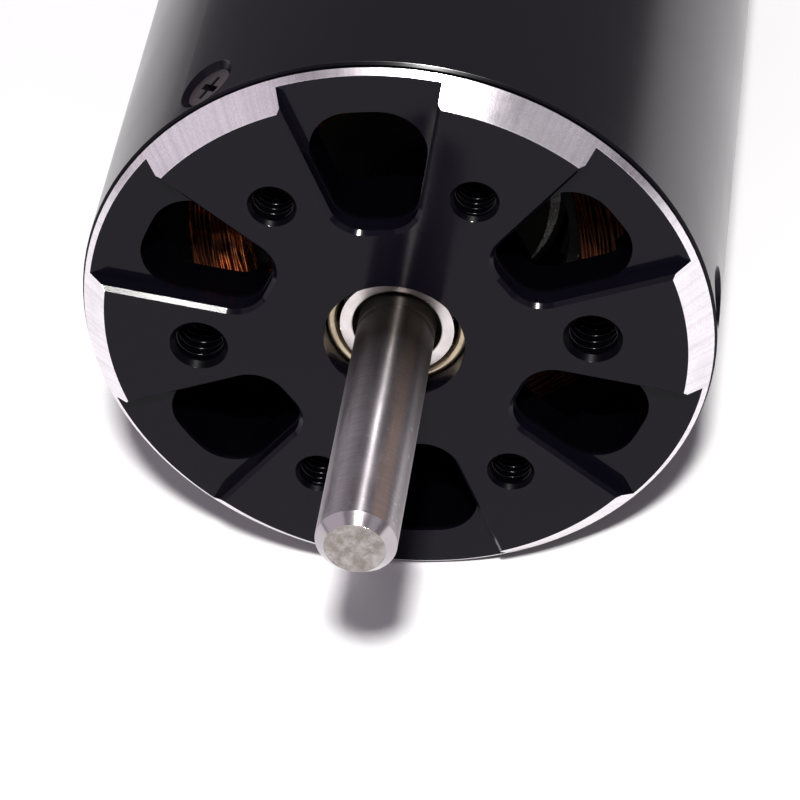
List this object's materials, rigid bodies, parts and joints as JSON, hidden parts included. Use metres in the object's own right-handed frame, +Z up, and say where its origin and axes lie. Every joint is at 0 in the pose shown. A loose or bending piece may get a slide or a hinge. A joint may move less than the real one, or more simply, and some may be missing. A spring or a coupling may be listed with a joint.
{
  "type": "brushless dc motor",
  "caption": "Long inner-rotor brushless motor: black can, vented front bell with bevelled recesses and bolt holes, shielded ball bearings, plain steel shaft, copper windings.",
  "frame": {"origin": "on the shaft's axis, in the plane of the front mounting face", "axes": "the motor lies on its side: -Y along the shaft, out of the front face; +Y towards the rear bell; +Z up; +X through the middle of one land of the front face"},
  "size_m": [0.065, 0.143, 0.065],
  "materials": {
    "black_can": "black anodised, semi-gloss",
    "black_bell": "black anodised, glossy, with a bright turned cone",
    "dark_screw": "blackened",
    "grommet_rubber": "matte",
    "core_lamination": "stacked sheets",
    "frame_plastic": "moulded",
    "slot_film": "insulating film",
    "wedge_board": "insulating board",
    "enamelled_copper": "enamelled copper",
    "ring_steel": "ground",
    "ball_steel": "polished",
    "shield_steel": "pressed sheet",
    "cage_steel": "pressed sheet",
    "spring_steel": "dark spring steel",
    "shaft_steel": "ground",
    "rotor_steel": "turned",
    "magnet_plating": "nickel plated",
    "spacer_metal": "turned"
  },
  "bodies": {
    "housing": {"can": "black_can", "front_bell": "black_bell", "rear_bell": "black_bell", "can_screws": "dark_screw", "lead_grommets": "grommet_rubber", "stator_core": "core_lamination", "front_end_frame": "frame_plastic", "rear_end_frame": "frame_plastic", "slot_liners": "slot_film", "slot_wedges": "wedge_board", "phase_a_winding": "enamelled_copper", "phase_b_winding": "enamelled_copper", "phase_c_winding": "enamelled_copper", "front_bearing_outer_ring": "ring_steel", "front_bearing_shields": "shield_steel", "rear_bearing_outer_ring": "ring_steel", "rear_bearing_shields": "shield_steel", "wave_washer": "spring_steel"},
    "rotor": {"shaft": "shaft_steel", "rotor_core": "rotor_steel", "rotor_magnets": "magnet_plating", "rotor_sleeve": "rotor_steel", "front_balance_ring": "rotor_steel", "rear_balance_ring": "rotor_steel", "front_spacer": "spacer_metal", "rear_spacer": "spacer_metal", "front_bearing_inner_ring": "ring_steel", "rear_bearing_inner_ring": "ring_steel", "retaining_ring": "spring_steel"},
    "front_ball_set": {"front_bearing_balls": "ball_steel", "front_bearing_cage": "cage_steel"},
    "rear_ball_set": {"rear_bearing_balls": "ball_steel", "rear_bearing_cage": "cage_steel"}
  },
  "joints": [
    {"name": "rotor_spin", "type": "hinge", "parent": "housing", "child": "rotor", "pos_m": [0, 0, 0], "axis": [0, 1, 0], "continuous": true},
    {"name": "front_ball_set_spin", "type": "hinge", "parent": "housing", "child": "front_ball_set", "pos_m": [0, 0.00595, 0], "axis": [0, 1, 0], "continuous": true},
    {"name": "rear_ball_set_spin", "type": "hinge", "parent": "housing", "child": "rear_ball_set", "pos_m": [0, 0.10465, 0], "axis": [0, 1, 0], "continuous": true}
  ],
  "couplings": [
    {"joint": "front_ball_set_spin", "follows": "rotor_spin", "ratio": 0.3677},
    {"joint": "rear_ball_set_spin", "follows": "rotor_spin", "ratio": 0.3677}
  ]
}
